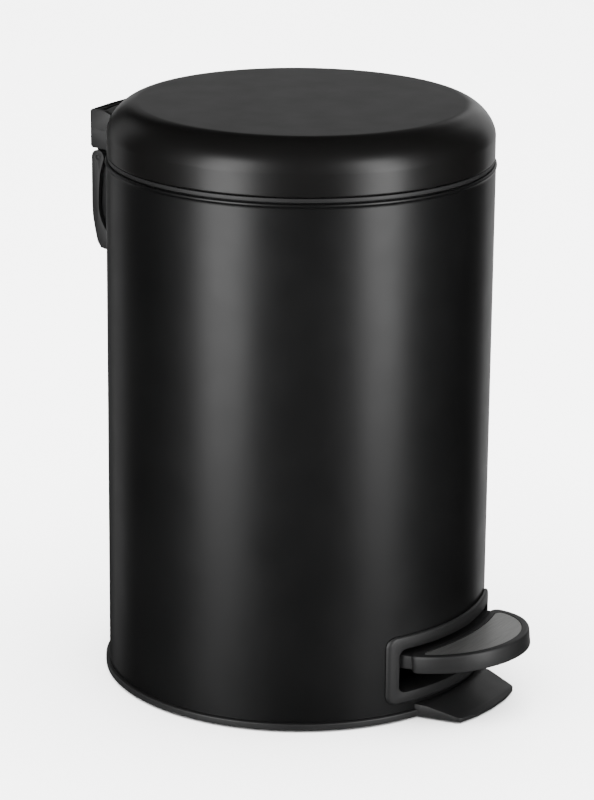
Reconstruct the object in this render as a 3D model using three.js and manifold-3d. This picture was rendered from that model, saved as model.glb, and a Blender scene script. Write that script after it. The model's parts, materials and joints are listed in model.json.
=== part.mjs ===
// Round pedal trash can, 12-litre size, as an assembly of separate pieces.
// Units are millimetres. +Z is up and the pedal points along -Y.
// Every piece is drawn around the vertical axis of the body, with the floor at z = 0.
// finish() then moves it back by AXIS_Y, so that the origin is the middle of the whole footprint.
import * as THREE from "three";
import { mergeVertices } from "three/addons/utils/BufferGeometryUtils.js";
import ManifoldModule from "manifold-3d";

const wasm = await ManifoldModule();
wasm.setup();
const { Manifold, Mesh } = wasm;

// Main sizes
const BODY_R = 124;            // outside radius of the steel body
const SHEET = 0.8;             // steel sheet of the body
const RIM_Z = 341.6;           // top of the body's rolled rim
const LID_R = 123.4;
const LID_LOW = 345.1;         // lower edge of the lid's skirt
const LID_SKIRT_TOP = 359;
const LID_TOP = 379;
const LID_FLAT_R = 103.5;      // flat disc on top of the lid
const LID_CURVE = 1.7;         // superellipse power of the lid's shoulder
const GAP = 0.3;               // gap between pieces that touch in the real can
const RUN = 0.08;              // running clearance of a pin in its bore

// Base
const BASE_R = 126.5;
const BASE_LOW = 1.5;
const BASE_FLOOR = 4.1;
const BASE_RING_TOP = 5.8;
const UPSTAND_TOP = 17.5;
const TONGUE_HALF = 39.5;
const TONGUE_FRONT = 153;

// Pedal slot and its frame
const BEZEL_R = 126.7;
const BEZEL = { half: 60.4, low: 12.4, high: 57.8, corner: 5 };
const SLOT = { half: 53.1, low: 20.2, high: 49.1, corner: 4.5 };

// Pedal and lever
const PIVOT = { y: -31, z: 30, r: 3 };
const PEDAL_TILT = 6.1;        // degrees, front edge up
const PEDAL_R = 53;
const PEDAL_CENTRE = -118;     // centre of the pedal's half circle, along the untilted lever
const PEDAL_TOP = 7.1;         // pedal surface above the pivot, across the untilted lever
const PEDAL_LOW = -4.1;

// Rod and lid hinge
const HINGE = { y: 129.5, z: 350.5, r: 2.5 };
const ROD = { y: 116.5, r: 2, low: 34.3, high: 333.7 };
const LIFT_PIN_Z = 338.5;
const LEVER_PIN_Z = 30;
const PIN_R = 2;

// Rear housing and carry handle, curved in plan about the point (0, REAR_CENTRE)
const REAR_CENTRE = -110;
const REAR_R = 255;
const COVER_R = 252;           // back of the moving hinge cover
const REAR_HALF = 33.5;
const REAR_TOP = 361;
const LID_OPEN = 76;            // degrees at which the lid stops
const HANDLE = { y: 137.5, z: 329.3, pin: 1.5, inner: 29.7, outer: 33.2 };

// Inner bucket
const BUCKET = { top: 113.5, low: 108, floor: 60, wall: 1.6, flange: 118.6, flat: 103.5 };
const FLANGE = { low: 333.9, high: 336.3 };

// The body's axis lies this far behind the part's origin
const AXIS_Y = 12.8;
const ROUND = 60;              // facets round the large pieces

// ---------- shape helpers ----------

function toSolid(geometry) {
  const bare = new THREE.BufferGeometry();
  bare.setAttribute("position", geometry.getAttribute("position"));
  bare.setIndex(geometry.getIndex());
  const merged = mergeVertices(bare, 1e-4);
  return new Manifold(new Mesh({
    numProp: 3,
    vertProperties: new Float32Array(merged.getAttribute("position").array),
    triVerts: new Uint32Array(merged.getIndex().array),
  }));
}

// Turns a closed [radius, z] outline about the Z axis.
function revolve(outline, segments = ROUND) {
  const area = THREE.ShapeUtils.area(outline.map(([r, z]) => new THREE.Vector2(r, z)));
  const points = area > 0 ? outline : [...outline].reverse();
  const vertices = [];
  const rings = points.map(([r, z]) => {
    const first = vertices.length / 3;
    const count = r === 0 ? 1 : segments;
    for (let i = 0; i < count; i += 1) {
      const turn = (2 * Math.PI * i) / segments;
      vertices.push(r * Math.cos(turn), r * Math.sin(turn), z);
    }
    return (i) => first + (i % count);
  });
  const faces = [];
  rings.forEach((ring, k) => {
    const next = rings[(k + 1) % rings.length];
    for (let i = 0; i < segments; i += 1) {
      const corners = [[ring(i), ring(i + 1), next(i + 1)], [ring(i), next(i + 1), next(i)]];
      corners.filter(([a, b, c]) => a !== b && b !== c && c !== a).forEach((face) => faces.push(...face));
    }
  });
  const geometry = new THREE.BufferGeometry();
  geometry.setAttribute("position", new THREE.Float32BufferAttribute(vertices, 3));
  geometry.setIndex(faces);
  return toSolid(geometry);
}

function disc(radius, low, high, segments = ROUND) {
  return revolve([[0, low], [radius, low], [radius, high], [0, high]], segments);
}

function block(x0, x1, y0, y1, z0, z1) {
  const box = new THREE.BoxGeometry(x1 - x0, y1 - y0, z1 - z0);
  return toSolid(box.translate((x0 + x1) / 2, (y0 + y1) / 2, (z0 + z1) / 2));
}

// A block that is the same on both sides of the middle.
function slab(half, y0, y1, z0, z1) {
  return block(-half, half, y0, y1, z0, z1);
}

function extrude(shape, depth) {
  return toSolid(new THREE.ExtrudeGeometry(shape, { depth, bevelEnabled: false, curveSegments: 6 }));
}

function polygon(points) {
  return new THREE.Shape(points.map(([a, b]) => new THREE.Vector2(a, b)));
}

// A plate drawn in the YZ plane, from x0 to x1.
function sidePlate(points, x0, x1) {
  return extrude(polygon(points), x1 - x0).rotate([90, 0, 90]).translate([x0, 0, 0]);
}

function roundedRectangle(half, low, high, corner) {
  const shape = new THREE.Shape();
  shape.moveTo(-half + corner, low);
  shape.lineTo(half - corner, low);
  shape.absarc(half - corner, low + corner, corner, -Math.PI / 2, 0);
  shape.absarc(half - corner, high - corner, corner, 0, Math.PI / 2);
  shape.absarc(-half + corner, high - corner, corner, Math.PI / 2, Math.PI);
  shape.absarc(-half + corner, low + corner, corner, Math.PI, 1.5 * Math.PI);
  return shape;
}

// A rounded window cut through the front of the can, grown by extra on every side.
function frontWindow({ half, low, high, corner }, extra = 0) {
  const shape = roundedRectangle(half + extra, low - extra, high + extra, corner + extra);
  return extrude(shape, 60).rotate([90, 0, 0]).translate([0, -90, 0]);
}

// A round bar along X.
function crossBar(radius, x0, x1, y, z, segments = 16) {
  return disc(radius, 0, x1 - x0, segments).rotate([0, 90, 0]).translate([x0, y, z]);
}

function join(...solids) {
  return Manifold.union(solids);
}

function bothSides(make) {
  return join(make(1), make(-1));
}

function tiltWithPedal(solid) {
  return solid
    .translate([0, -PIVOT.y, -PIVOT.z])
    .rotate([-PEDAL_TILT, 0, 0])
    .translate([0, PIVOT.y, PIVOT.z]);
}

// ---------- meshes ----------

const group = new THREE.Group();
group.name = "pedal_trash_can";

const finishes = {
  body: { color: 0x1d1d1e, metalness: 0.5, roughness: 0.35 },
  lid: { color: 0x232323, metalness: 0.5, roughness: 0.3 },
  plastic: { color: 0x1a1a1a, metalness: 0, roughness: 0.55 },
  bucket: { color: 0x3a3b3d, metalness: 0, roughness: 0.6 },
  ring: { color: 0x47484a, metalness: 0, roughness: 0.5 },
  steel: { color: 0x9a9b9d, metalness: 1, roughness: 0.4 },
  inlay: { color: 0xb4b4b4, metalness: 1, roughness: 0.45 },
  rubber: { color: 0x141414, metalness: 0, roughness: 0.9 },
};

function finish(name, look, solid) {
  const { vertProperties, triVerts } = solid.translate([0, AXIS_Y, 0]).getMesh();
  const geometry = new THREE.BufferGeometry();
  geometry.setAttribute("position", new THREE.Float32BufferAttribute(vertProperties, 3));
  geometry.setIndex(Array.from(triVerts));
  const mesh = new THREE.Mesh(geometry, new THREE.MeshStandardMaterial(finishes[look]));
  mesh.name = name;
  group.add(mesh);
}

const sideNames = [["right", 1], ["left", -1]];

// ---------- base ----------

const feet = {
  foot_rear_right: [75, 75, 8],
  foot_rear_left: [-75, 75, 8],
  foot_front_right: [98, -38, 8],
  foot_front_left: [-98, -38, 8],
  foot_tongue: [0, -142, 6],
};
const BRACKET_SCREW = { x: 40, y: PIVOT.y };

function tongue() {
  const corner = TONGUE_HALF - 6;
  const plan = polygon([
    [-TONGUE_HALF, -100], [-TONGUE_HALF, -122], [-corner - 1.5, -144.5], [-corner + 2.5, -148.6],
    [-18, -151.8], [0, -TONGUE_FRONT], [18, -151.8], [corner - 2.5, -148.6], [corner + 1.5, -144.5],
    [TONGUE_HALF, -122], [TONGUE_HALF, -100],
  ]);
  const slope = sidePlate(
    [[-160, BASE_LOW], [-100, BASE_LOW], [-100, 9.3], [-126, 9.3], [-152, 3.6], [-160, 2]], -60, 60);
  const wedge = extrude(plan, 20).intersect(slope);
  return wedge.subtract(disc(BODY_R + 0.35, BASE_RING_TOP, 30));
}

function basePan() {
  const pan = revolve([
    [0, BASE_LOW], [BASE_R - 0.5, BASE_LOW], [BASE_R, 2], [BASE_R, BASE_RING_TOP - 1],
    [BASE_R - 1, BASE_RING_TOP],
    [122.9, BASE_RING_TOP], [122.9, UPSTAND_TOP], [120.1, UPSTAND_TOP], [120.1, BASE_FLOOR], [0, BASE_FLOOR],
  ]);
  const seats = Object.values(feet).map(([x, y, r]) => disc(r + GAP + 0.2, 0, 2.9, 16).translate([x, y, 0]));
  const screwHoles = bothSides((side) => (
    disc(1.9, 0, 10, 16).translate([side * BRACKET_SCREW.x, BRACKET_SCREW.y, 0])));
  return join(pan, tongue()).subtract(join(...seats, screwHoles));
}

finish("base_pan", "plastic", basePan());
Object.entries(feet).forEach(([name, [x, y, r]]) => {
  finish(name, "rubber", disc(r, 0, 2.6, 16).translate([x, y, 0]));
});

// ---------- body ----------

const HINGE_SCREW = { x: 10, z: 318 };

function alongY(radius, y0, y1, x, z, segments = 12) {
  return disc(radius, 0, y1 - y0, segments).rotate([-90, 0, 0]).translate([x, y0, z]);
}

function outerShell() {
  const bead = { r: BODY_R - 0.65, z: RIM_Z - 1.3, size: 1.3 };
  const curl = [-30, 15, 60, 120, 165, 210].map((degrees) => {
    const turn = THREE.MathUtils.degToRad(degrees);
    return [bead.r + bead.size * Math.cos(turn), bead.z + bead.size * Math.sin(turn)];
  });
  const inside = BODY_R - SHEET;
  const low = BASE_RING_TOP + 0.4;
  const wall = revolve([
    [inside, low], [BODY_R, low], [BODY_R, bead.z - 1.2], ...curl, [inside, bead.z - 1.2],
  ]);
  const holes = bothSides((side) => alongY(2.2, 110, 130, side * HINGE_SCREW.x, HINGE_SCREW.z));
  return wall.subtract(join(frontWindow(SLOT, 2.2), holes));
}

function pedalBezel() {
  const face = frontWindow(BEZEL)
    .intersect(disc(BEZEL_R, 0, 80))
    .subtract(disc(BODY_R + 0.35, 0, 80));
  const throat = frontWindow(SLOT, 1.8)
    .intersect(disc(BEZEL_R - 0.6, 0, 80))
    .intersect(slab(80, -140, -106, 0, 80));
  return join(face, throat).subtract(frontWindow(SLOT));
}

finish("outer_shell", "body", outerShell());
finish("pedal_bezel", "plastic", pedalBezel());

// ---------- pedal and lever ----------

function pedalDisc(radius, low, high) {
  return disc(radius, PIVOT.z + low, PIVOT.z + high).translate([0, PEDAL_CENTRE, 0]);
}

function besideBody(radius) {
  return disc(radius, 0, 80);
}

function pedalCover() {
  const edge = 1.2;
  const plate = join(
    pedalDisc(PEDAL_R, PEDAL_LOW, PEDAL_TOP - edge),
    pedalDisc(PEDAL_R - edge, PEDAL_LOW, PEDAL_TOP),
  ).subtract(besideBody(130));
  const neck = slab(50, -134, -110, PIVOT.z + PEDAL_LOW + 1, PIVOT.z + PEDAL_TOP - 1);
  const underside = join(
    pedalDisc(PEDAL_R - 2.5, PEDAL_LOW - 1, 3.6).subtract(besideBody(132.5)),
    slab(47.6, -136, -100, PIVOT.z + PEDAL_LOW - 1, PIVOT.z + 3.6),
  );
  const recess = inlayPlan(GAP, 5.9, 9);
  return tiltWithPedal(join(plate, neck).subtract(join(underside, recess)));
}

function inlayPlan(extra, low, high) {
  const innerArc = 135;
  const inner = disc(innerArc - extra, 0, 80, 120).translate([0, innerArc - 135.3, 0]);
  return pedalDisc(PEDAL_R - 5 + extra, low, high).subtract(inner);
}

function pedalLever() {
  const pad = 42;
  const outline = new THREE.Shape();
  outline.moveTo(24, -20);
  outline.lineTo(24, -46);
  outline.lineTo(pad, -78);
  outline.lineTo(pad, PEDAL_CENTRE);
  outline.absarc(0, PEDAL_CENTRE, pad, 0, -Math.PI, true);
  outline.lineTo(-pad, -78);
  outline.lineTo(-24, -46);
  outline.lineTo(-24, -20);
  const front = tiltWithPedal(extrude(outline, 2.5).translate([0, 0, PIVOT.z + 0.8]));
  const rear = slab(12, -40, 107, 31.3, 33.8);
  const flanges = bothSides((side) => sidePlate(
    [[-46, 30.5], [-40, 25], [-20, 25], [-16, 30.5], [-16, 33.8], [-42, 35.5]],
    side > 0 ? 21.5 : -24, side > 0 ? 24 : -21.5));
  const crossPlate = slab(24, -33, -16, 31.3, 33.8);
  const ribs = bothSides((side) => block(side > 0 ? 9.5 : -12, side > 0 ? 12 : -9.5, -20, 107, 26.5, 33));
  const fork = bothSides((side) => sidePlate(
    [[98, 31.5], [107, 26.5], [112, 25.5], [119, 25.5], [121, 28], [121, 32], [119, 34.5], [98, 34.5]],
    side > 0 ? 5.5 : -8, side > 0 ? 8 : -5.5));
  const bores = join(
    crossBar(PIVOT.r + RUN, -40, 40, PIVOT.y, PIVOT.z),
    crossBar(PIN_R + RUN, -20, 20, ROD.y, LEVER_PIN_Z),
  );
  return join(front, rear, flanges, crossPlate, ribs, fork).subtract(bores);
}

finish("pedal_cover", "plastic", pedalCover());
finish("pedal_inlay", "inlay", tiltWithPedal(inlayPlan(0, 6.2, 6.9)));
finish("pedal_lever", "steel", pedalLever());
finish("lever_pin", "steel", crossBar(PIN_R, -9.5, 9.5, ROD.y, LEVER_PIN_Z));
finish("pivot_pin", "steel", crossBar(PIVOT.r, -33, 33, PIVOT.y, PIVOT.z));

function leverBracket(side) {
  const post = sidePlate(
    [[-46, 4.4], [-16, 4.4], [-16, 8], [-24, 34], [-28, 37], [-34, 37], [-38, 34], [-46, 8]], 28, 31);
  const foot = block(28, 47, -46, -16, 4.4, 6.9);
  const bores = join(
    crossBar(PIVOT.r + RUN, 20, 40, PIVOT.y, PIVOT.z),
    disc(1.9, 0, 20, 16).translate([BRACKET_SCREW.x, BRACKET_SCREW.y, 0]),
  );
  const right = join(post, foot).subtract(bores);
  return side > 0 ? right : right.mirror([1, 0, 0]);
}

function screw(shank, headLow, headHigh, tip, headR = 4) {
  const head = disc(headR, headLow, headHigh, 14);
  return join(head, disc(shank, Math.min(tip, headLow), Math.max(tip, headHigh), 12));
}

sideNames.forEach(([name, side]) => {
  finish(`lever_bracket_${name}`, "steel", leverBracket(side));
  const bracketScrew = screw(1.6, 7.2, 9, 2);
  finish(`bracket_screw_${name}`, "steel",
    bracketScrew.translate([side * BRACKET_SCREW.x, BRACKET_SCREW.y, 0]));
});

// ---------- push rod ----------

function rodHead() {
  const head = slab(3.8, 107.5, 120.8, 322, 344.5);
  const slot = slab(10, 111.7, 116.6, LIFT_PIN_Z - 2.6, LIFT_PIN_Z + 2.6);
  const ends = [111.7, 116.6].map((y) => crossBar(2.6, -10, 10, y, LIFT_PIN_Z));
  const bore = disc(ROD.r + RUN, 300, 334, 16).translate([0, ROD.y, 0]);
  return head.subtract(join(slot, ...ends, bore));
}

function rodFoot() {
  const foot = slab(5, 109.8, 121, 24.5, 46);
  const slot = slab(10, 114.4, 116.7, LEVER_PIN_Z - 2.4, LEVER_PIN_Z + 2.4);
  const ends = [114.4, 116.7].map((y) => crossBar(2.4, -10, 10, y, LEVER_PIN_Z));
  const bore = disc(ROD.r + RUN, 34, 60, 16).translate([0, ROD.y, 0]);
  return foot.subtract(join(slot, ...ends, bore));
}

function rodGuide(z) {
  const clip = slab(9, 111, 130, z - 7, z + 7).intersect(disc(BODY_R - SHEET - GAP, z - 10, z + 10));
  return clip.subtract(disc(ROD.r + 0.3, z - 20, z + 20, 16).translate([0, ROD.y, 0]));
}

finish("push_rod", "steel", disc(ROD.r, ROD.low, ROD.high, 16).translate([0, ROD.y, 0]));
finish("rod_head", "plastic", rodHead());
finish("rod_foot", "plastic", rodFoot());
finish("rod_guide_lower", "plastic", rodGuide(120));
finish("rod_guide_upper", "plastic", rodGuide(250));

// ---------- hinge ----------

const EAR = { inner: 14, outer: 16.5 };
const ARM = { inner: 20, outer: 23 };
const LID_SCREW = { x: 15, y: 100 };

function hingeBase() {
  const plate = slab(17, BODY_R, BODY_R + 2.6, 300, 342);
  const ears = bothSides((side) => sidePlate(
    [[124.5, 330], [126.4, 330], [126.4, 341], [132, 345], [135, 348.5], [135, 352.5], [132, 356],
      [127, 356], [124.5, 352.5]],
    side > 0 ? EAR.inner : -EAR.outer, side > 0 ? EAR.outer : -EAR.inner));
  const holes = bothSides((side) => alongY(1.9, 120, 130, side * HINGE_SCREW.x, HINGE_SCREW.z));
  const bore = crossBar(HINGE.r + RUN, -40, 40, HINGE.y, HINGE.z);
  return join(plate, ears).subtract(join(holes, bore, disc(BODY_R + 0.95, 200, 400)));
}

function lidBracket() {
  const plate = slab(ARM.outer, 86, 118, 352.3, 354.3);
  const arms = bothSides((side) => sidePlate(
    [[88, 352.3], [119, 352.3], [125.5, 346], [129, 344.6], [133.5, 346], [135.5, 350], [134, 355],
      [130, 357], [88, 357]],
    side > 0 ? ARM.inner : -ARM.outer, side > 0 ? ARM.outer : -ARM.inner));
  const fork = bothSides((side) => sidePlate(
    [[112.5, 336.5], [114.5, 334.5], [118.5, 334.5], [120, 336.5], [120, 350], [118, 354], [108, 354]],
    side > 0 ? 5 : -7, side > 0 ? 7 : -5));
  const bores = join(
    crossBar(HINGE.r + RUN, -40, 40, HINGE.y, HINGE.z),
    crossBar(PIN_R + RUN, -20, 20, ROD.y, LIFT_PIN_Z),
    bothSides((side) => disc(2.1, 340, 360, 16).translate([side * LID_SCREW.x, LID_SCREW.y, 0])),
  );
  return join(plate, arms, fork).subtract(bores);
}

finish("hinge_base", "steel", hingeBase());
finish("hinge_axle", "steel", crossBar(HINGE.r, -28.9, 28.9, HINGE.y, HINGE.z));
finish("lid_bracket", "steel", lidBracket());
finish("lift_pin", "steel", crossBar(PIN_R, -8.2, 8.2, ROD.y, LIFT_PIN_Z));
sideNames.forEach(([name, side]) => {
  const hingeScrew = join(
    alongY(3.6, 119.7, 121.9, side * HINGE_SCREW.x, HINGE_SCREW.z, 14),
    alongY(1.6, 121, 127.6, side * HINGE_SCREW.x, HINGE_SCREW.z),
  );
  finish(`hinge_screw_${name}`, "steel", hingeScrew);
  const lidScrew = screw(1.8, 348.2, 349.7, 356);
  finish(`lid_screw_${name}`, "steel", lidScrew.translate([side * LID_SCREW.x, LID_SCREW.y, 0]));
});

// ---------- rear housing and carry handle ----------

function aboutRearCentre(outline) {
  return revolve(outline, 180).translate([0, REAR_CENTRE, 0]);
}

// The housing's outline in plan and height, drawn in by inset for its hollow, which is open at the top.
function housingSolid(inset) {
  const back = REAR_R - inset;
  const upperLow = 335.5 + (inset > 0 ? 1.8 : 0);
  const upper = aboutRearCentre([
    [0, upperLow], [back - 1.5, upperLow], [back, upperLow + 1.5], [back, REAR_TOP - 1],
    [back - 1, REAR_TOP + inset], [0, REAR_TOP + inset],
  ]).intersect(slab(REAR_HALF - inset, 80, 160, 300, 370));
  const lower = aboutRearCentre([
    [0, 269 + inset], [back - 18.5, 269 + inset], [back - 14.5, 279.6 + inset], [back - 8.5, 279.6 + inset],
    [back - 6.2, 283.5], [back - 4, 296], [back - 2.6, 335.5], [back - 2.6, 345], [0, 345],
  ]).intersect(slab(29.2 - inset, 80, 160, 260, 345));
  return join(upper, lower);
}

// A shelf that fills the space between the turning cover and the top of the housing's back wall.
// It is cut back to where the cover's roof comes to rest against it when the lid is wide open.
function backShelf() {
  const reach = REAR_R - 1;
  const fill = aboutRearCentre([
    [0, 340], [reach, 340], [reach, REAR_TOP - 0.4], [reach - 4.5, REAR_TOP - 2], [0, REAR_TOP - 2],
  ]).intersect(slab(REAR_HALF - 1, 80, 160, 300, 370));
  const openCover = coverSolid(40, -0.6)
    .translate([0, -HINGE.y, -HINGE.z])
    .rotate([-LID_OPEN, 0, 0])
    .translate([0, HINGE.y, HINGE.z]);
  const cuts = join(coverBarrel(40, -0.5), openCover, slab(40, 80, HINGE.y + 8.2, 300, 380));
  return fill.subtract(cuts);
}

function rearHousing() {
  const pocket = slab(21, 130, 160, 283, 318);
  const pocketWall = slab(23, 128, 160, 281, 320);
  const hollow = housingSolid(2).subtract(pocketWall);
  const pinBore = crossBar(HANDLE.pin + RUN, -40, 40, HANDLE.y, HANDLE.z);
  const lidSweep = sidePlate(
    [[100, 350], [126.5, 350], [126.5, 359], [133, REAR_TOP], [133, 380], [100, 380]], -40, 40);
  const grooves = bothSides((side) => block(
    side > 0 ? 33.1 : -40, side > 0 ? 40 : -33.1, 100, 141.5, 347.7, 348.4));
  const cuts = join(pocket, disc(BODY_R + 0.9, 200, 400), pinBore, lidSweep, grooves);
  return join(housingSolid(0).subtract(hollow), backShelf()).subtract(cuts);
}

// The cover's radius about the hinge axis at x, so that it stays inside the curved housing as it turns.
function coverRadius(x) {
  return REAR_CENTRE + Math.sqrt(COVER_R ** 2 - x ** 2) - HINGE.y;
}

function coverProfile(half, inset) {
  return Array.from({ length: 11 }, (_, i) => {
    const x = half * (1 - i / 5);
    return [coverRadius(x) - inset, x];
  });
}

function coverBarrel(half, inset) {
  return revolve([[0, half], ...coverProfile(half, inset), [0, -half]], 48)
    .rotate([0, 90, 0])
    .translate([0, HINGE.y, HINGE.z]);
}

// A barrel about the hinge axis with a roof that climbs towards the lid.
function coverSolid(half, inset) {
  const barrel = coverBarrel(half, inset);
  const roofEdge = coverProfile(half, inset).map(([radius, x]) => [x, radius]);
  const roof = extrude(polygon([[-half, -20], [half, -20], ...roofEdge]), 24)
    .rotate([90, 0, 0])
    .rotate([-5, 0, 0])
    .translate([0, HINGE.y, HINGE.z]);
  return join(barrel, roof);
}

function hingeCover() {
  const low = HINGE.z - 3;
  const outside = coverSolid(31, 0).intersect(slab(40, 100, 160, low, 380));
  const inside = coverSolid(29.4, 1.6).intersect(slab(40, 100, 160, low - 1, 380));
  return outside.subtract(join(inside, lidSolid(0.4)));
}

// The arm's outline seen from the side: a round head and a long edge that bends in under the housing.
function armOutline() {
  const shape = new THREE.Shape();
  shape.absarc(HANDLE.y, HANDLE.z, 5, Math.PI, 0.1, true);
  shape.splineThru([[142.3, 296], [140.6, 283], [138.2, 273]].map(([y, z]) => new THREE.Vector2(y, z)));
  shape.lineTo(135.4, 269);
  shape.lineTo(129.4, 268.6);
  shape.lineTo(128.8, 279);
  shape.splineThru([[134, 286], [137, 297], [135.8, 318]].map(([y, z]) => new THREE.Vector2(y, z)));
  return shape;
}

function carryHandle() {
  const width = HANDLE.outer - HANDLE.inner;
  const arms = bothSides((side) => extrude(armOutline(), width)
    .rotate([90, 0, 90])
    .translate([side > 0 ? HANDLE.inner : -HANDLE.outer, 0, 0]));
  const near = REAR_R - 13.3;
  const far = REAR_R - 7;
  const bar = aboutRearCentre([
    [near, 269.2], [near + 1, 268.5], [far - 3, 268.5], [far - 0.6, 271], [far, 274], [far, 277.5],
    [far - 1, 278.5], [near, 278.5],
  ]).intersect(slab(HANDLE.outer, 100, 160, 260, 300));
  const bore = crossBar(HANDLE.pin + RUN, -40, 40, HANDLE.y, HANDLE.z);
  return join(arms, bar).subtract(bore);
}

finish("rear_housing", "plastic", rearHousing());
finish("hinge_cover", "plastic", hingeCover());
finish("carry_handle", "plastic", carryHandle());
sideNames.forEach(([name, side]) => {
  const pin = crossBar(HANDLE.pin, side > 0 ? 25.5 : -33, side > 0 ? 33 : -25.5, HANDLE.y, HANDLE.z, 16);
  finish(`handle_pin_${name}`, "plastic", pin);
});

// ---------- lid ----------

// Outline of the lid's outside from the edge of the flat top to the top of its skirt.
function shoulder(inset, steps = 7) {
  const points = [];
  for (let i = 0; i <= steps; i += 1) {
    const turn = (Math.PI / 2) * (i / steps);
    const out = Math.sin(turn) ** (2 / LID_CURVE);
    const up = Math.cos(turn) ** (2 / LID_CURVE);
    points.push([
      LID_FLAT_R + (LID_R - inset - LID_FLAT_R) * out,
      LID_SKIRT_TOP + (LID_TOP - inset - LID_SKIRT_TOP) * up,
    ]);
  }
  return points;
}

function lidSolid(grow) {
  return revolve([
    [0, LID_TOP + grow], ...shoulder(-grow), [LID_R + grow, LID_LOW - grow], [0, LID_LOW - grow],
  ]);
}

function lidShell() {
  const sheet = 1.2;
  const shell = revolve([
    [0, LID_TOP], ...shoulder(0), [LID_R, LID_LOW], [LID_R - sheet, LID_LOW],
    ...shoulder(sheet, 4).reverse(), [0, LID_TOP - sheet],
  ]);
  return shell.subtract(slab(26, 100, 140, 340, 358));
}

function lidLiner() {
  const floor = disc(121.8, 350, 352);
  const rib = revolve([[114, 351.5], [116, 351.5], [116, 364], [114, 364]]);
  const clear = join(
    slab(26, 80, 140, 352, 370),
    slab(25, 117, 140, 340, 360),
    slab(10.5, 100, 140, 340, 360),
    bothSides((side) => disc(2.1, 340, 360, 16).translate([side * LID_SCREW.x, LID_SCREW.y, 0])),
  );
  return join(floor, rib).subtract(clear);
}

finish("lid_shell", "lid", lidShell());
finish("lid_liner", "plastic", lidLiner());

// ---------- rim ring, bucket and its bail ----------

const ROD_NOTCH = slab(10.5, 105.4, 140, 300, 400);
const BAIL = { r: 116, wire: 1.8, z: 338.4 };

function rimRing() {
  return revolve([
    [115.6, 331], [121.7, 331], [121.7, 341.95], [123, 341.95], [123, 344], [122.4, 344.6], [119, 344.6],
    [119, 333.6], [115.6, 333.6],
  ]).subtract(ROD_NOTCH);
}

function bucketSolid(inset) {
  const low = BUCKET.floor + inset;
  const corner = 6;
  const cone = revolve([
    [0, low], [BUCKET.low - inset - corner, low], [BUCKET.low - inset, low + corner],
    [BUCKET.top - inset, FLANGE.high + 0.1 * inset], [0, FLANGE.high + 0.1 * inset],
  ]);
  return cone.intersect(slab(130, -130, BUCKET.flat - inset, 0, 400));
}

function innerBucket() {
  const flange = disc(BUCKET.flange, FLANGE.low, FLANGE.high).subtract(ROD_NOTCH);
  const lugs = bothSides((side) => sidePlate(
    [[-5, 335], [5, 335], [5, 339.5], [2.5, 342], [-2.5, 342], [-5, 339.5]],
    side > 0 ? 111.4 : -113.6, side > 0 ? 113.6 : -111.4));
  const bores = crossBar(BAIL.wire + RUN, -120, 120, 0, BAIL.z, 16);
  const body = join(bucketSolid(0), flange).subtract(bucketSolid(BUCKET.wall));
  return join(body, lugs).subtract(bores);
}

function bucketBail() {
  const section = [0, 60, 120, 180, 240, 300].map((degrees) => {
    const turn = THREE.MathUtils.degToRad(degrees);
    return [BAIL.r + BAIL.wire * Math.cos(turn), BAIL.z + BAIL.wire * Math.sin(turn)];
  });
  const hoop = revolve(section).intersect(slab(130, -130, 0, 300, 400));
  const ends = bothSides((side) => crossBar(
    BAIL.wire, side > 0 ? 109 : -BAIL.r, side > 0 ? BAIL.r : -109, 0, BAIL.z, 16));
  return join(hoop, ends);
}

finish("rim_ring", "ring", rimRing());
finish("inner_bucket", "bucket", innerBucket());
finish("bucket_bail", "steel", bucketBail());

export default group;
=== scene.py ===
"""Looks for a round pedal trash can: fine meshes, procedural materials, a floor and soft light.

Lengths in the shape code are millimetres about the body's own axis, and mm() turns them into
the frame's metres.
"""
import json
from math import atan2, cos, pi, radians, sin, sqrt

import bmesh
import bpy
from mathutils import Matrix, Vector


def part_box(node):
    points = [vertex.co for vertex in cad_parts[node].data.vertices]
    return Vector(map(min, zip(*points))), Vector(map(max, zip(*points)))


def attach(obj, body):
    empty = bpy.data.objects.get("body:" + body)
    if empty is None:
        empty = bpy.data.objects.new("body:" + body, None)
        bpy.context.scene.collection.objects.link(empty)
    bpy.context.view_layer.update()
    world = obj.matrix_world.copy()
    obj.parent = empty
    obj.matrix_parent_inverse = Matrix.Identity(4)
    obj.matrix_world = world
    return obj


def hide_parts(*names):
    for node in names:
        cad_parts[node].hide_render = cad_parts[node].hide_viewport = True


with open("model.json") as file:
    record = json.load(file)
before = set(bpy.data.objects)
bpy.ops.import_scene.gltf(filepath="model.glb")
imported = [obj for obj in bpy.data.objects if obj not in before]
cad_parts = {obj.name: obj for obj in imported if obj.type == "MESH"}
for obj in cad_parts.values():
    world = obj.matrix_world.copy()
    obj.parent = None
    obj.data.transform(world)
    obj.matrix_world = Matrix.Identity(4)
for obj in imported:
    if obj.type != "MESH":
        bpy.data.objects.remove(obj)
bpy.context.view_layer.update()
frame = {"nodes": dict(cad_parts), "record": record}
record = frame["record"]

BODY_OF = {
    node: body
    for body, nodes in record["behaviour"]["bodies"].items()
    for node in nodes
}
SLOT_OF = {row["node"]: row["material_slot"] for row in record["subparts"]}
FEET = [node for node in frame["nodes"] if node.startswith("foot_")]

# ---------- body and lid sizes, read from the frame ----------

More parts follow.
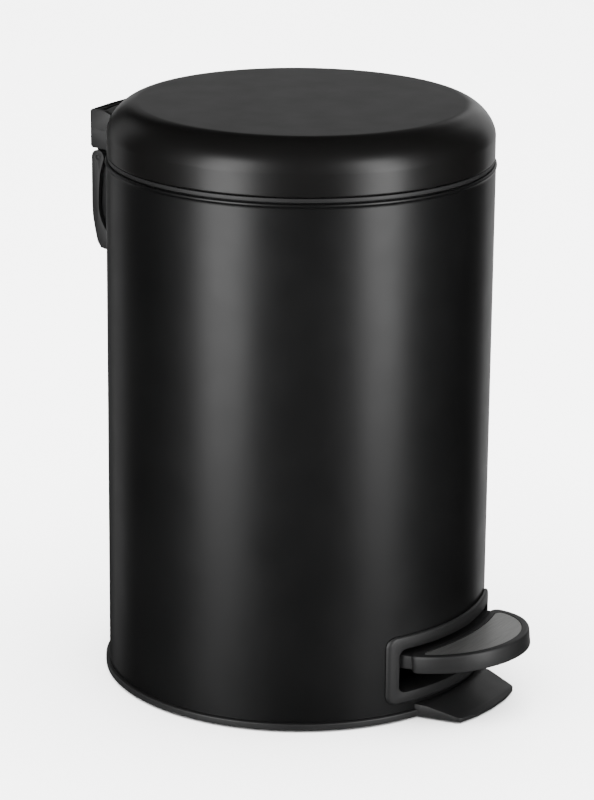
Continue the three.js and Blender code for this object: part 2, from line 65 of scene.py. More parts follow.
shell_low, shell_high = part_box("outer_shell")
AXIS_Y = (shell_low.y + shell_high.y) / 2
BEAD_R = 1.3                   # the curled bead round the body's rim
RIM_Z = shell_high.z * 1000
RIM_R = shell_high.x * 1000
BODY_R = RIM_R - BEAD_R / 2
SHELL_LOW = shell_low.z * 1000
RUN = 0.4                      # gap between neighbouring pieces
BASE_TOP = SHELL_LOW - RUN
SHEET = 0.8                    # body wall thickness
lid_low, lid_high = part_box("lid_shell")
LID_R = lid_high.x * 1000
LID_LOW = lid_low.z * 1000
LID_TOP = lid_high.z * 1000
LID_SHEET = 1.2
LID_HEM = 0.6
LID_SKIRT_TOP = 359
LID_FLAT_R = 103.5
LID_CURVE = 1.7                # 2 would be a quarter ellipse, and less is a sharper shoulder
ROUND = 288                    # facets round the large pieces

# ---------- pedal, base and bucket sizes, the same as the frame's ----------

BEZEL = {"half": 60.4, "low": 12.4, "high": 57.8, "corner": 6.5, "r": 126.7}
SLOT = {"half": 53.1, "low": 20.2, "high": 49.1, "corner": 4.5}
THROAT_Y = -106                # the bezel's inner end
SHELL_SLOT_GAP = 2.2           # from the slot to the hole in the body wall
GUIDE_HOLE = {"x": 10, "z": 318, "r": 2.2}

BASE = {
    "low": 1.5, "floor_top": 4.1, "outer_r": 126.5,
    "spigot_r": 122.9, "inner_r": 120.1, "spigot_top": 17.5,
}
FOOT_TOP = 2.6
PIVOT_HOLE = {"x": 40, "r": 1.9}

PIVOT_Y = -31
PIVOT_Z = 30
PEDAL_TILT = radians(6.1)
PEDAL_CENTRE = -118            # centre of the pedal's half circle, along the untilted lever
PEDAL_R = 53
PEDAL_TOP = 7.1
PEDAL_LOW = -4.1

# Half moons: radius of the front, centre and radius of the hollow back arc, radius of the corners
COVER = (PEDAL_R, 0, 130, 5)
INLAY = (PEDAL_R - 5, -0.3, 135, 3)

BUCKET = {"floor": 60, "low_r": 108, "top_r": 113.5, "top": 336.3, "flat": 103.5, "wall": 1.6}
FLANGE = {"r": 118.6, "low": 333.9}
BAIL = {"r": 116, "end": 109, "lug": 112.5, "z": 338.4, "wire": 1.8}

CAMERA = {
    "azimuth": -56, "distance": 2.023, "height": 0.8044,
    "pitch": 17.14, "yaw": -0.032, "roll": 0.546,
}
LENS = 146.5


def mm(x, y, z):
    return Vector((x / 1000, y / 1000 + AXIS_Y, z / 1000))


# ---------- materials ----------

def new_material(name, base, roughness, metallic=0.0):
    material = bpy.data.materials.new(name)
    material.use_nodes = True
    shader = material.node_tree.nodes["Principled BSDF"]
    shader.inputs["Base Color"].default_value = (*base, 1)
    shader.inputs["Roughness"].default_value = roughness
    shader.inputs["Metallic"].default_value = metallic
    return material, material.node_tree, shader


def add(tree, kind, **settings):
    node = tree.nodes.new(kind)
    for key, value in settings.items():
        if key in node.inputs:
            node.inputs[key].default_value = value
        else:
            setattr(node, key, value)
    return node


def object_point(tree, scale=(1, 1, 1)):
    place = add(tree, "ShaderNodeTexCoord")
    mapping = add(tree, "ShaderNodeMapping")
    mapping.inputs["Scale"].default_value = scale
    tree.links.new(place.outputs["Object"], mapping.inputs["Vector"])
    return mapping.outputs["Vector"]


def noise(tree, point, scale, detail=3.0, rough=0.5):
    node = add(tree, "ShaderNodeTexNoise", Scale=scale, Detail=detail, Roughness=rough)
    tree.links.new(point, node.inputs["Vector"])
    return node.outputs["Fac"]


def spread(tree, value, low, high):
    node = add(tree, "ShaderNodeMapRange")
    node.inputs["From Min"].default_value = 0.3
    node.inputs["From Max"].default_value = 0.7
    node.inputs["To Min"].default_value = low
    node.inputs["To Max"].default_value = high
    tree.links.new(value, node.inputs["Value"])
    return node.outputs["Result"]


def tint(tree, value, dark, light):
    ramp = add(tree, "ShaderNodeValToRGB")
    ramp.color_ramp.elements[0].position = 0.3
    ramp.color_ramp.elements[0].color = (*dark, 1)
    ramp.color_ramp.elements[1].position = 0.7
    ramp.color_ramp.elements[1].color = (*light, 1)
    tree.links.new(value, ramp.inputs["Fac"])
    return ramp.outputs["Color"]


def bump(tree, shader, height, strength, distance):
    node = add(tree, "ShaderNodeBump", Strength=strength, Distance=distance)
    tree.links.new(height, node.inputs["Height"])
    tree.links.new(node.outputs["Normal"], shader.inputs["Normal"])


def speckled(name, dark, light, rough_low, rough_high, grain, depth, metallic=0.0):
    """A coating or moulding: cloudy colour, uneven gloss and a fine grain that stands up."""
    material, tree, shader = new_material(name, light, (rough_low + rough_high) / 2, metallic)
    point = object_point(tree)
    cloud = tint(tree, noise(tree, point, 14), dark, light)
    tree.links.new(cloud, shader.inputs["Base Color"])
    gloss = spread(tree, noise(tree, point, 45, 5), rough_low, rough_high)
    tree.links.new(gloss, shader.inputs["Roughness"])
    bump(tree, shader, noise(tree, point, grain, 2), 0.35, depth)
    return material


def brushed(name, dark, light, rough_low, rough_high, across, depth=0.00004):
    """Metal with fine straight brushing; across is the noise scale along X, Y and Z."""
    material, tree, shader = new_material(name, light, (rough_low + rough_high) / 2, 1.0)
    hair = noise(tree, object_point(tree, across), 1.0, 4, 0.65)
    tree.links.new(tint(tree, hair, dark, light), shader.inputs["Base Color"])
    tree.links.new(spread(tree, hair, rough_low, rough_high), shader.inputs["Roughness"])
    bump(tree, shader, hair, 0.3, depth)
    return material


def floor_material():
    material, tree, shader = new_material("pale_floor", (0.9, 0.9, 0.9), 0.8)
    point = object_point(tree)
    cloud = tint(tree, noise(tree, point, 3), (0.89, 0.89, 0.89), (0.91, 0.91, 0.91))
    tree.links.new(cloud, shader.inputs["Base Color"])
    return material


MATERIALS = {
    "body_paint": speckled(
        "satin_black_coat", (0.0016, 0.0016, 0.0017), (0.0024, 0.0024, 0.0025),
        0.33, 0.37, 1500, 0.00002),
    "lid_paint": speckled(
        "satin_black_lid_coat", (0.0022, 0.0020, 0.0019), (0.003, 0.0028, 0.0027),
        0.31, 0.35, 1500, 0.00002),
    "black_plastic": speckled(
        "black_moulding", (0.0055, 0.0055, 0.0056), (0.0085, 0.0085, 0.0087),
        0.42, 0.5, 2400, 0.00006),
    "ring_plastic": speckled(
        "grey_ring_moulding", (0.006, 0.006, 0.0062), (0.009, 0.009, 0.0092),
        0.42, 0.52, 2200, 0.00004),
    "bucket_plastic": speckled(
        "dark_bucket_moulding", (0.03, 0.03, 0.032), (0.04, 0.04, 0.042),
        0.38, 0.5, 1800, 0.00005),
    "brushed_inlay": brushed(
        "brushed_pedal_sheet", (0.52, 0.52, 0.51), (0.78, 0.78, 0.77),
        0.4, 0.52, (60, 2600, 2600)),
    "zinc_steel": brushed(
        "zinc_plated_steel", (0.42, 0.43, 0.44), (0.6, 0.61, 0.62),
        0.28, 0.42, (700, 900, 500)),
    "foot_rubber": speckled(
        "black_rubber", (0.01, 0.01, 0.01), (0.018, 0.018, 0.018),
        0.7, 0.85, 1600, 0.0001),
}


# ---------- mesh helpers ----------

def smooth(mesh, angle=32):
    mesh.polygons.foreach_set("use_smooth", [True] * len(mesh.polygons))
    mesh.set_sharp_from_angle(angle=radians(angle))


def make_object(name, points, faces):
    mesh = bpy.data.meshes.new(name)
    mesh.from_pydata([tuple(p) for p in points], [], faces)
    work = bmesh.new()
    work.from_mesh(mesh)
    bmesh.ops.remove_doubles(work, verts=work.verts, dist=1e-6)
    bmesh.ops.recalc_face_normals(work, faces=work.faces)
    work.to_mesh(mesh)
    work.free()
    piece = bpy.data.objects.new(name, mesh)
    bpy.context.scene.collection.objects.link(piece)
    return piece


def apply_modifiers(piece):
    bpy.context.view_layer.update()
    shape = piece.evaluated_get(bpy.context.evaluated_depsgraph_get())
    mesh = bpy.data.meshes.new_from_object(shape)
    piece.modifiers.clear()
    piece.data = mesh


def combine(piece, other, operation):
    cut = piece.modifiers.new("combine", "BOOLEAN")
    cut.object = other
    cut.operation = operation
    cut.solver = "EXACT"
    apply_modifiers(piece)
    bpy.data.objects.remove(other)
    return piece


def round_edges(piece, width, segments=3, angle=30):
    edge = piece.modifiers.new("round", "BEVEL")
    edge.width = width / 1000
    edge.segments = segments
    edge.limit_method = "ANGLE"
    edge.angle_limit = radians(angle)
    edge.use_clamp_overlap = True
    apply_modifiers(piece)
    return piece


def stands_for(piece, node, angle=32):
    """The piece is shown instead of the CAD node, and takes its body, slot and material."""
    smooth(piece.data, angle)
    piece.data.materials.clear()
    piece.data.materials.append(MATERIALS[SLOT_OF[node]])
    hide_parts(node)
    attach(piece, BODY_OF[node])
    return piece


def fillet(corners, radius, steps=5):
    """Rounds a closed outline's corners. A corner may carry its own radius as a third number."""
    outline = []
    count = len(corners)
    for i, corner in enumerate(corners):
        here = Vector(corner[:2])
        before = Vector(corners[i - 1][:2]) - here
        after = Vector(corners[(i + 1) % count][:2]) - here
        turn = before.angle(after)
        wanted = corner[2] if len(corner) > 2 else radius
        straight_on = turn >= 3.1
        tangent = 0 if straight_on else wanted / max(0.05, sin(turn / 2) / cos(turn / 2))
        reach = min(tangent, before.length * 0.48, after.length * 0.48)
        if reach < 1e-3:
            outline.append(tuple(here))
            continue
        start = here + before.normalized() * reach
        end = here + after.normalized() * reach
        for step in range(steps + 1):
            t = step / steps
            outline.append(tuple(start * (1 - t) ** 2 + here * 2 * t * (1 - t) + end * t ** 2))
    return outline


def revolve(name, outline, segments=ROUND, centre_y=0.0):
    """Turns a closed [radius, z] outline about the upright line at centre_y."""
    points = []
    rings = []
    for r, z in outline:
        rings.append([len(points) + (i if r > 1e-6 else 0) for i in range(segments)])
        for i in range(segments if r > 1e-6 else 1):
            turn = 2 * pi * i / segments
            points.append(mm(r * cos(turn), r * sin(turn) + centre_y, z))
    faces = []
    for ring, above in zip(rings, rings[1:] + rings[:1]):
        for i in range(segments):
            j = (i + 1) % segments
            face = list(dict.fromkeys([ring[i], ring[j], above[j], above[i]]))
            if len(face) > 2:
                faces.append(face)
    return make_object(name, points, faces)


def prism(name, outline, place, low, high):
    """A straight bar between two heights: place(a, b, height) puts an outline point in space."""
    count = len(outline)
    points = [place(a, b, low) for a, b in outline] + [place(a, b, high) for a, b in outline]
    faces = [list(range(count)), list(range(2 * count - 1, count - 1, -1))]
    faces += [[i, (i + 1) % count, count + (i + 1) % count, count + i] for i in range(count)]
    return make_object(name, points, faces)


def from_front(x, z, y):
    return mm(x, y, z)


def from_side(y, z, x):
    return mm(x, y, z)


def box_cut(x0, x1, y0, y1, z0, z1):
    outline = [(x0, y0), (x1, y0), (x1, y1), (x0, y1)]
    return prism("cut", outline, mm, z0, z1)


def circle(a, b, radius):
    return [(a + radius * cos(i * pi / 12), b + radius * sin(i * pi / 12)) for i in range(24)]


def loft(name, rings, close=True):
    """Skins equal rings of points. With close, the last ring joins the first."""
    count = len(rings[0])
    points = [p for ring in rings for p in ring]
    faces = []
    for k in range(len(rings) if close else len(rings) - 1):
        a = k * count
        b = ((k + 1) % len(rings)) * count
        faces += [[a + i, a + (i + 1) % count, b + (i + 1) % count, b + i] for i in range(count)]
    if not close:
        faces += [list(range(count)), list(range(len(points) - 1, len(points) - count - 1, -1))]
    return make_object(name, points, faces)


def soften(node, width, segments=3, angle=30):
    """A copy of a CAD node with its flat facets merged and its edges rounded."""
    mesh = frame["nodes"][node].data.copy()
    work = bmesh.new()
    work.from_mesh(mesh)
    bmesh.ops.remove_doubles(work, verts=work.verts, dist=1e-5)
    bmesh.ops.dissolve_limit(work, angle_limit=radians(1.5), verts=work.verts, edges=work.edges)
    work.to_mesh(mesh)
    work.free()
    piece = bpy.data.objects.new(f"{node}_fine", mesh)
    bpy.context.scene.collection.objects.link(piece)
    round_edges(piece, width, segments, angle)
    return stands_for(piece, node)


# ---------- body and base ----------

def window_outline(shape, extra=0.0, steps=8):
    half = shape["half"] + extra
    low = shape["low"] - extra
    high = shape["high"] + extra
    return arc_rectangle(half, low, high, shape["corner"] + extra, steps)


def arc_rectangle(half, low, high, corner, steps=8, side_steps=14):
    """A rounded rectangle in x and z, with extra points along its long sides so that it can bend."""
    corner = max(corner, 0.3)
    outline = []
    middles = [(half - corner, low + corner, -90), (half - corner, high - corner, 0),
               (-half + corner, high - corner, 90), (-half + corner, low + corner, 180)]
    for k, (x, z, start) in enumerate(middles):
        for step in range(steps + 1):
            turn = radians(start + 90 * step / steps)
            outline.append((x + corner * cos(turn), z + corner * sin(turn)))
        if k in (1, 3):
            ahead = -1 if k == 1 else 1
            level = high if k == 1 else low
            for step in range(1, side_steps):
                outline.append((ahead * (half - corner) * (2 * step / side_steps - 1), level))
    return outline


def outer_shell():
    """A rolled wall. Close rows of points below the bead keep the wall's shading straight."""
    bead_r = BODY_R - BEAD_R / 2
    bead_z = RIM_Z - BEAD_R
    turns = [radians(degrees) for degrees in range(-48, 229, 12)]
    curl = [(bead_r + BEAD_R * cos(turn), bead_z + BEAD_R * sin(turn)) for turn in turns]
    rising = [SHELL_LOW, SHELL_LOW + 0.5, 8, 40, 70, 190, RIM_Z - 8, RIM_Z - 4, RIM_Z - 3]
    falling = [RIM_Z - 2.5, RIM_Z - 3.5, RIM_Z - 8, 190, 70, 40, 8, SHELL_LOW]
    outside = [(BODY_R, z) for z in rising]
    inside = [(BODY_R - SHEET, z) for z in falling]
    piece = revolve("body_shell", outside + curl + inside)
    window = prism("cut", window_outline(SLOT, SHELL_SLOT_GAP), from_front, -150, -90)
    combine(piece, window, "DIFFERENCE")
    for side in (-1, 1):
        ring = circle(side * GUIDE_HOLE["x"], GUIDE_HOLE["z"], GUIDE_HOLE["r"])
        combine(piece, prism("cut", ring, from_front, 110, 130), "DIFFERENCE")
    return stands_for(piece, "outer_shell", 40)


def pedal_bezel():
    """Rings that follow the rounded window: outer edge, bevel, face, inner lip and throat."""
    def ring(shape, extra, r):
        points = []
        for x, z in window_outline(shape, extra):
            points.append(mm(x, -sqrt(r * r - x * x) if r else THROAT_Y, z))
        return points

    outer_r = BEZEL["r"]
    back_r = BODY_R + 0.35
    rings = [
        ring(SLOT, 1.8, 0),
        ring(SLOT, 1.8, back_r),
        ring(BEZEL, -0.3, back_r),
        ring(BEZEL, 0, back_r + 0.35),
        ring(BEZEL, -0.15, outer_r - 0.9),
        ring(BEZEL, -0.7, outer_r - 0.25),
        ring(BEZEL, -1.6, outer_r),
        ring(SLOT, 1.0, outer_r),
        ring(SLOT, 0.3, outer_r - 0.2),
        ring(SLOT, 0, outer_r - 0.9),
        ring(SLOT, 0, 0),
    ]
    return stands_for(loft("pedal_frame", rings), "pedal_bezel", 35)


def front_tongue():
    """The flat step in front of the can, which thins towards its tip and fits round the body."""
    plan = fillet([
        (-39.5, -100, 0), (-39.5, -122, 6), (-33.5, -148.2, 5), (-18, -151.8, 30), (0, -153, 60),
        (18, -151.8, 30), (33.5, -148.2, 5), (39.5, -122, 6), (39.5, -100, 0),
    ], 5, 8)
    tongue = prism("tongue", plan, mm, BASE["low"], 12)
    side_view = fillet([
        (-160, 1.5, 0), (-100, 1.5, 0), (-100, 9.3, 0), (-126, 9.3, 14), (-151, 3.6, 3), (-160, 2.2, 0),
    ], 1, 6)
    combine(tongue, prism("cut", side_view, from_side, -60, 60), "INTERSECT")
    round_edges(tongue, 0.8, 3, 40)
    wall_r = BODY_R + 0.35
    clear = revolve("cut", [(0, BASE_TOP), (wall_r, BASE_TOP), (wall_r, 30), (0, 30)])
    return combine(tongue, clear, "DIFFERENCE")


def drill(piece, x, y, radius, depth, segments):
    """A round hole up into the piece from the floor, at a place in the frame's metres."""
    hole = revolve("cut", [(0, 0), (radius, 0), (radius, depth), (0, depth)], segments)
    hole.location = (x, y, 0)
    combine(piece, hole, "DIFFERENCE")


def foot_middle(node):
    """A foot's radius in millimetres and its place, in metres from the body's axis."""
    low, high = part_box(node)
    centre = (low + high) / 2
    return (high.x - low.x) * 500, centre.x, centre.y - AXIS_Y


def base_pan():
    outer_r = BASE["outer_r"]
    spigot_r = BASE["spigot_r"]
    inner_r = BASE["inner_r"]
    outline = fillet([
        (0, BASE["low"], 0), (outer_r, BASE["low"], 0.5), (outer_r, BASE_TOP, 0.9),
        (spigot_r, BASE_TOP, 0.2), (spigot_r, BASE["spigot_top"], 0.4),
        (inner_r, BASE["spigot_top"], 0.4), (inner_r, BASE["floor_top"], 0.6), (0, BASE["floor_top"], 0),
    ], 0.4)
    piece = revolve("base_ring_and_floor", outline)
    combine(piece, front_tongue(), "UNION")
    for node in FEET:
        r, x, y = foot_middle(node)
        drill(piece, x, y, r + 0.5, FOOT_TOP + 0.3, 48)
    for side in (-1, 1):
        drill(piece, side * PIVOT_HOLE["x"] / 1000, PIVOT_Y / 1000, PIVOT_HOLE["r"], 10, 24)
    return stands_for(piece, "base_pan", 35)


def rubber_foot(node):
    r, x, y = foot_middle(node)
    outline = fillet([(0, 0, 0), (r, 0, 0.6), (r, FOOT_TOP, 0.3), (0, FOOT_TOP, 0)], 0.4)
    piece = revolve(f"{node}_pad", outline, 64)
    piece.data.transform(Matrix.Translation((x, y, 0)))
    return stands_for(piece, node)


# ---------- pedal ----------

def circle_meet(centre_a, radius_a, centre_b, radius_b):
    """The point with positive x where two circles with centres on the Y axis cross."""
    gap = centre_b - centre_a
    along = (radius_a ** 2 - radius_b ** 2 + gap ** 2) / (2 * gap)
    return sqrt(max(radius_a ** 2 - along ** 2, 0)), centre_a + along


def half_moon(radius, back_centre, back_radius, corner, inset, steps=72):
    """The pedal's outline, drawn in by inset: a disc with a hollow back arc and round corners."""
    corner_x, corner_y = circle_meet(PEDAL_CENTRE, radius - corner, back_centre, back_radius + corner)
    corner_r = max(corner - inset, 0.15)
    front_r = radius - inset
    back_r = back_radius + inset
    front_turn = atan2(corner_y - PEDAL_CENTRE, corner_x)
    back_turn = atan2(back_centre - corner_y, -corner_x)
    half_back = atan2(corner_x, back_centre - corner_y)
    outline = []
    for step in range(steps + 1):
        turn = (pi - front_turn) + (2 * front_turn + pi) * step / steps
        outline.append((front_r * cos(turn), PEDAL_CENTRE + front_r * sin(turn)))
    corner_arc = []
    for step in range(1, 9):
        turn = front_turn + (back_turn - front_turn) * step / 8
        corner_arc.append((corner_x + corner_r * cos(turn), corner_y + corner_r * sin(turn)))
    outline += corner_arc
    for step in range(1, steps // 2):
        turn = half_back * (1 - 2 * step / (steps // 2))
        outline.append((back_r * sin(turn), back_centre - back_r * cos(turn)))
    return outline + [(-x, y) for x, y in reversed(corner_arc)]


def tilted(x, y, w):
    """A point of the untilted pedal, turned up about the lever's pivot."""
    ahead = y - PIVOT_Y
    return mm(x, PIVOT_Y + ahead * cos(PEDAL_TILT) + w * sin(PEDAL_TILT),
              PIVOT_Z - ahead * sin(PEDAL_TILT) + w * cos(PEDAL_TILT))


def along_lever(x, w, y):
    return tilted(x, y, w)


def pedal_rings(levels, shape):
    """One ring for each level, which is an inset from the outline and a height above the pivot."""
    return [[tilted(x, y, w) for x, y in half_moon(*shape, inset)] for inset, w in levels]


def pedal_cover():
    levels = [
        (2.5, 3.6), (2.5, PEDAL_LOW + 0.2), (2.2, PEDAL_LOW), (0.5, PEDAL_LOW), (0.1, PEDAL_LOW + 0.2),
        (0, PEDAL_LOW + 0.6), (0, PEDAL_TOP - 1.8), (0.15, PEDAL_TOP - 1.0), (0.6, PEDAL_TOP - 0.35),
        (1.2, PEDAL_TOP - 0.1), (2.0, PEDAL_TOP), (3.2, PEDAL_TOP),
    ]
    piece = loft("pedal_tread", pedal_rings(levels, COVER), close=False)
    neck_outline = fillet([(-50, -3.1), (50, -3.1), (50, 6.1), (-50, 6.1)], 1.2)
    combine(piece, prism("neck", neck_outline, along_lever, -134, -110), "UNION")
    hollow = fillet([(-47.6, -9), (47.6, -9), (47.6, 3.6), (-47.6, 3.6)], 1)
    combine(piece, prism("cut", hollow, along_lever, -134, -100), "DIFFERENCE")
    seat_levels = [(-0.3, 5.9), (-0.3, 7.0), (-0.5, 7.3), (-0.5, 9)]
    combine(piece, loft("cut", pedal_rings(seat_levels, INLAY), close=False), "DIFFERENCE")
    return stands_for(piece, "pedal_cover", 30)


def pedal_inlay():
    rings = pedal_rings([(0.2, 6.2), (0, 6.3), (0, 6.7), (0.25, 6.9)], INLAY)
    return stands_for(loft("pedal_inlay_sheet", rings, close=False), "pedal_inlay", 30)


# ---------- lid ----------

def shoulder(inset, steps):
    """Points from the edge of the flat top to the top of the skirt."""
    points = []
    for step in range(steps + 1):
        turn = pi / 2 * step / steps
        out = sin(turn) ** (2 / LID_CURVE)
        up = cos(turn) ** (2 / LID_CURVE)
        points.append((LID_FLAT_R + (LID_R - inset - LID_FLAT_R) * out,
                       LID_SKIRT_TOP + (LID_TOP - inset - LID_SKIRT_TOP) * up))
    return points


def lid_shell():
    """A dome over a straight skirt, whose lower edge is rolled to a small round hem."""
    inner_r = LID_R - LID_SHEET
    outline = [(0, LID_TOP), (60, LID_TOP), (LID_FLAT_R - 3, LID_TOP)] + shoulder(0, 44)
    outline += [(LID_R, LID_SKIRT_TOP - 1), (LID_R, LID_LOW + 4), (LID_R, LID_LOW + 1.2)]
    outline += [
        (LID_R, LID_LOW + LID_HEM), (LID_R - 0.2, LID_LOW + 0.15), (LID_R - LID_HEM, LID_LOW),
        (LID_R - 1.0, LID_LOW + 0.15), (inner_r, LID_LOW + LID_HEM), (inner_r, LID_LOW + 2),
    ]
    outline += shoulder(LID_SHEET, 30)[::-1] + [(0, LID_TOP - LID_SHEET)]
    piece = revolve("lid_dome", outline)
    combine(piece, box_cut(-26, 26, 100, 140, 340, 358), "DIFFERENCE")
    return stands_for(piece, "lid_shell", 40)


def lid_liner():
    outline = fillet([
        (0, 350, 0), (121.8, 350, 0.8), (121.8, 352, 0.6), (116, 352, 0.8),
        (116, 364, 0.6), (114, 364, 0.6), (114, 352, 0.8), (0, 352, 0),
    ], 0.5)
    groove = [(0, 350), (96, 350), (97, 350.5), (98.5, 350.5), (99.5, 350)]
    piece = revolve("lid_liner_plate", groove + outline[1:])
    combine(piece, box_cut(-26, 26, 80, 140, 352, 370), "DIFFERENCE")
    combine(piece, box_cut(-25, 25, 117, 140, 340, 360), "DIFFERENCE")
    combine(piece, box_cut(-10.5, 10.5, 100, 140, 340, 360), "DIFFERENCE")
    return stands_for(piece, "lid_liner", 35)


# ---------- rim ring, bucket and bail ----------

def rod_notch():
    return box_cut(-10.5, 10.5, 105.4, 140, 300, 400)


def rim_ring():
    outline = fillet([
        (115.6, 331), (121.7, 331), (121.7, 341.95, 0.2), (123, 341.95, 0.3),
        (123, 344.6, 0.9), (119, 344.6, 0.8), (119, 333.6, 0.4), (115.6, 333.6),
    ], 0.5)
    piece = revolve("rim_ring_moulding", outline)
    combine(piece, rod_notch(), "DIFFERENCE")
    return stands_for(piece, "rim_ring", 35)


def flat_backed(radius, flat, height, segments=ROUND):
    """One level of the bucket: a circle with a flat at the back and soft corners beside it."""
    blend = 24.0
    points = []
    for i in range(segments):
        turn = 2 * pi * i / segments
        r = radius
        if sin(turn) > 0.05:
            straight = flat / sin(turn)
            r = (radius ** -blend + straight ** -blend) ** (-1 / blend)
        points.append(mm(r * cos(turn), r * sin(turn), height))
    return points


def bucket_wall(height, inset):
    """The bucket's tapered wall at a height, drawn in by inset."""
    rise = (height - BUCKET["floor"]) / (BUCKET["top"] - BUCKET["floor"])
    r = BUCKET["low_r"] + (BUCKET["top_r"] - BUCKET["low_r"]) * rise
    return flat_backed(r - inset, BUCKET["flat"] - inset, height)


def bucket_flange(inset, height):
    r = FLANGE["r"] - inset
    return flat_backed(r, r, height)


def bucket_lug(side):
    """The upright tab on the rim that one end of the wire handle turns in."""
    tab = fillet([(-5, 334.5, 0), (5, 334.5, 0), (5, 342, 3), (-5, 342, 3)], 3, 6)
    lug = prism("lug", tab, from_side, *sorted((side * 111.4, side * 113.6)))
    bore = circle(0, BAIL["z"], BAIL["wire"] + 0.15)
    return combine(lug, prism("cut", bore, from_side, *sorted((side * 105, side * 120))), "DIFFERENCE")


def inner_bucket():
    floor = BUCKET["floor"]
    top = BUCKET["top"]
    sheet = BUCKET["wall"]
    inside = [
        flat_backed(20, 103, floor + sheet), flat_backed(100, 96, floor + sheet),
        bucket_wall(62.3, 5.0), bucket_wall(63.6, 2.9), bucket_wall(66, 1.8), bucket_wall(70, sheet),
        bucket_wall(200, sheet), bucket_wall(333, sheet), bucket_wall(335.9, 1.8), bucket_wall(top, 1.3),
    ]
    rim = [
        bucket_flange(3.6, top), bucket_flange(0.4, top), bucket_flange(0, top - 0.4),
        bucket_flange(0, FLANGE["low"] + 0.4), bucket_flange(0.4, FLANGE["low"]),
        bucket_wall(FLANGE["low"], -1.2), bucket_wall(333.2, 0),
    ]
    outside = [
        bucket_wall(200, 0), bucket_wall(68, 0), bucket_wall(64, 0.5), bucket_wall(61.4, 2.4),
        bucket_wall(60.3, 5), flat_backed(98, 94, floor), flat_backed(20, 103, floor),
    ]
    piece = loft("bucket_tub", inside + rim + outside, close=False)
    combine(piece, rod_notch(), "DIFFERENCE")
    for side in (-1, 1):
        combine(piece, bucket_lug(side), "UNION")
    return stands_for(piece, "inner_bucket", 35)


def bucket_bail():
    """A wire hoop whose two ends turn in through the bucket's lugs."""
    steps = 96
    turns = [pi + pi * step / steps for step in range(steps + 1)]
    path = [(-BAIL["end"], 0), (-BAIL["lug"], 0)]
    path += [(BAIL["r"] * cos(turn), BAIL["r"] * sin(turn)) for turn in turns]
    path += [(BAIL["lug"], 0), (BAIL["end"], 0)]
    curve = bpy.data.curves.new("bail_path", "CURVE")
    curve.dimensions = "3D"
    curve.bevel_depth = BAIL["wire"] / 1000
    curve.bevel_resolution = 5
    curve.use_fill_caps = True
    line = curve.splines.new("POLY")
    line.points.add(len(path) - 1)
    for point, (x, y) in zip(line.points, path):
        point.co = (*mm(x, y, BAIL["z"]), 1)
    wire = bpy.data.objects.new("bail_wire", curve)
    bpy.context.scene.collection.objects.link(wire)
    shape = wire.evaluated_get(bpy.context.evaluated_depsgraph_get())
    piece = bpy.data.objects.new("bail_wire_hoop", bpy.data.meshes.new_from_object(shape))
    bpy.context.scene.collection.objects.link(piece)
    bpy.data.objects.remove(wire)
    return stands_for(piece, "bucket_bail", 50)


# ---------- stage ----------

def studio_floor():
    """A wide pale floor that neither mirrors in the can nor shades it."""
    steps = 24
    size = 14.0
    row = steps + 1
    points = []
    for j in range(row):
        for i in range(row):
            points.append(Vector((size * (i / steps - 0.5), size * (j / steps - 0.5), 0)))
    starts = [j * row + i for j in range(steps) for i in range(steps)]
    faces = [[start, start + 1, start + row + 1, start + row] for start in starts]
    floor = make_object("studio_floor", points, faces)
    floor.data.materials.append(floor_material())
    floor.visible_glossy = False
    floor.visible_shadow = False
    return floor


def area_lamp(name, place, aim, width, height, power):
    light = bpy.data.lights.new(name, "AREA")
    light.shape = "RECTANGLE"
    light.size = width
    light.size_y = height
    light.energy = power
    lamp = bpy.data.objects.new(name, light)
    lamp.location = place
    lamp.rotation_euler = (aim - place).to_track_quat("-Z", "Y").to_euler()
    lamp.visible_camera = False
    bpy.context.scene.collection.objects.link(lamp)
    return lamp


def link_floor(lamps, floor, state):
    """state INCLUDE lets the lamps light the floor alone, and EXCLUDE everything but the floor."""
    group = bpy.data.collections.new(f"{lamps[0].name}_receivers")
    group.objects.link(floor)
    group.collection_objects[0].light_linking.link_state = state
    for lamp in lamps:
        lamp.light_linking.receiver_collection = group


def panel(name, azimuth, distance, width, low, high, power):
    """An upright softbox; azimuth counts from the camera's own direction, to its right."""
    turn = radians(CAMERA["azimuth"] + azimuth)
    aim = Vector((0, AXIS_Y, (low + high) / 2))
    place = aim + Vector((sin(turn), -cos(turn), 0)) * distance
    return area_lamp(name, place, aim, width, high - low, power)


def studio_light(floor):
    """Tall softboxes that only the can sees, one over the floor, and an even white world."""
    world = bpy.data.worlds.new("studio")
    bpy.context.scene.world = world
    world.use_nodes = True
    background = world.node_tree.nodes["Background"]
    background.inputs["Color"].default_value = (1, 1, 1, 1)
    background.inputs["Strength"].default_value = 3.0
    world.cycles_visibility.glossy = False
    panels = [
        panel("left_box", -43, 1.5, 0.72, -0.24, 1.5, 23),
        panel("right_box", 47, 1.5, 0.62, -0.2, 1.5, 21),
        panel("right_edge_box", 152, 1.6, 0.8, -0.6, 1.2, 3.4),
        panel("left_edge_box", -135, 1.6, 0.6, -0.6, 1.2, 1.4),
        panel("back_low_box", 180, 2.4, 1.5, -0.7, 0.6, 5),
        panel("back_high_box", 180, 2.4, 1.6, 0.7, 1.7, 1.5),
    ]
    link_floor(panels, floor, "EXCLUDE")
    overhead = area_lamp("floor_box", Vector((0, 0, 4)), Vector((0, 0, 0)), 9, 9, 1900)
    link_floor([overhead], floor, "INCLUDE")


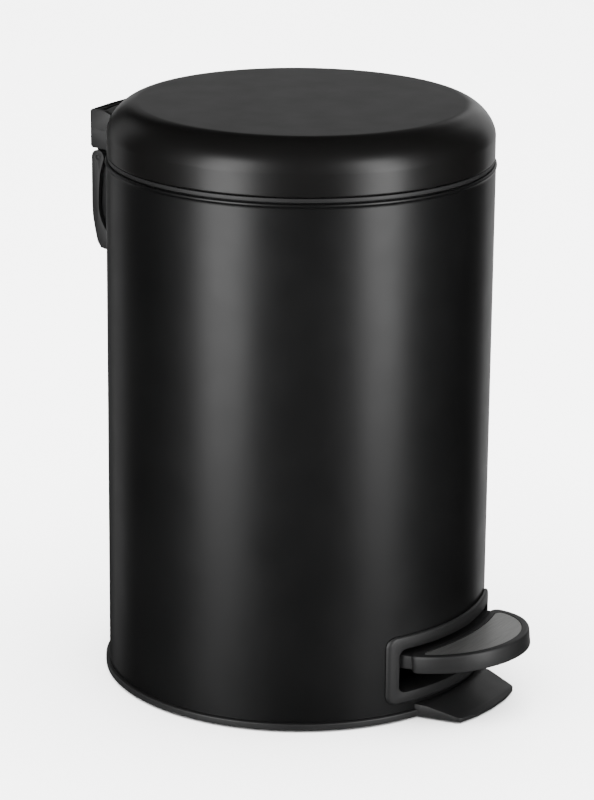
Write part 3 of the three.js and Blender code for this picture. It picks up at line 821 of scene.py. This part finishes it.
def camera():
    turn = radians(CAMERA["azimuth"])
    side = Vector((cos(turn), sin(turn), 0))
    ahead = Vector((-sin(turn), cos(turn), 0))
    pitch = radians(CAMERA["pitch"])
    yaw = radians(CAMERA["yaw"])
    roll = radians(CAMERA["roll"])
    level_part = side * sin(yaw) * cos(pitch) + ahead * cos(yaw) * cos(pitch)
    forward = level_part - Vector((0, 0, sin(pitch)))
    level = side * cos(yaw) - ahead * sin(yaw)
    upright = level.cross(forward)
    right = level * cos(roll) + upright * sin(roll)
    up = upright * cos(roll) - level * sin(roll)
    data = bpy.data.cameras.new("photo_camera")
    data.sensor_fit = "VERTICAL"
    data.sensor_height = 36
    data.lens = LENS
    data.clip_end = 100
    eye = bpy.data.objects.new("photo_camera", data)
    place = Vector((0, AXIS_Y, CAMERA["height"])) - ahead * CAMERA["distance"]
    turned = Matrix((right, up, -forward)).transposed().to_4x4()
    eye.matrix_world = Matrix.Translation(place) @ turned
    bpy.context.scene.collection.objects.link(eye)
    bpy.context.scene.camera = eye


# ---------- the whole can ----------

# The CAD nodes shown with rounded edges, and the width of the rounding
EDGE_WIDTHS = {
    "rear_housing": 0.9,
    "hinge_cover": 0.9,
    "carry_handle": 0.9,
    "rod_head": 0.5,
    "rod_foot": 0.5,
    "rod_guide_lower": 0.6,
    "rod_guide_upper": 0.6,
    "hinge_base": 0.25,
    "lid_bracket": 0.3,
    "lever_bracket_right": 0.4,
    "lever_bracket_left": 0.4,
    "pedal_lever": 0.3,
    "push_rod": 0.3,
    "hinge_axle": 0.4,
    "pivot_pin": 0.4,
    "lever_pin": 0.3,
    "lift_pin": 0.3,
    "handle_pin_right": 0.25,
    "handle_pin_left": 0.25,
    "bracket_screw_right": 0.3,
    "bracket_screw_left": 0.3,
    "hinge_screw_right": 0.3,
    "hinge_screw_left": 0.3,
    "lid_screw_right": 0.3,
    "lid_screw_left": 0.3,
}

camera()
studio_light(studio_floor())

outer_shell()
pedal_bezel()
base_pan()
pedal_cover()
pedal_inlay()
lid_shell()
lid_liner()
rim_ring()
inner_bucket()
bucket_bail()

for node in sorted(FEET):
    rubber_foot(node)

for node, width in EDGE_WIDTHS.items():
    soften(node, width)
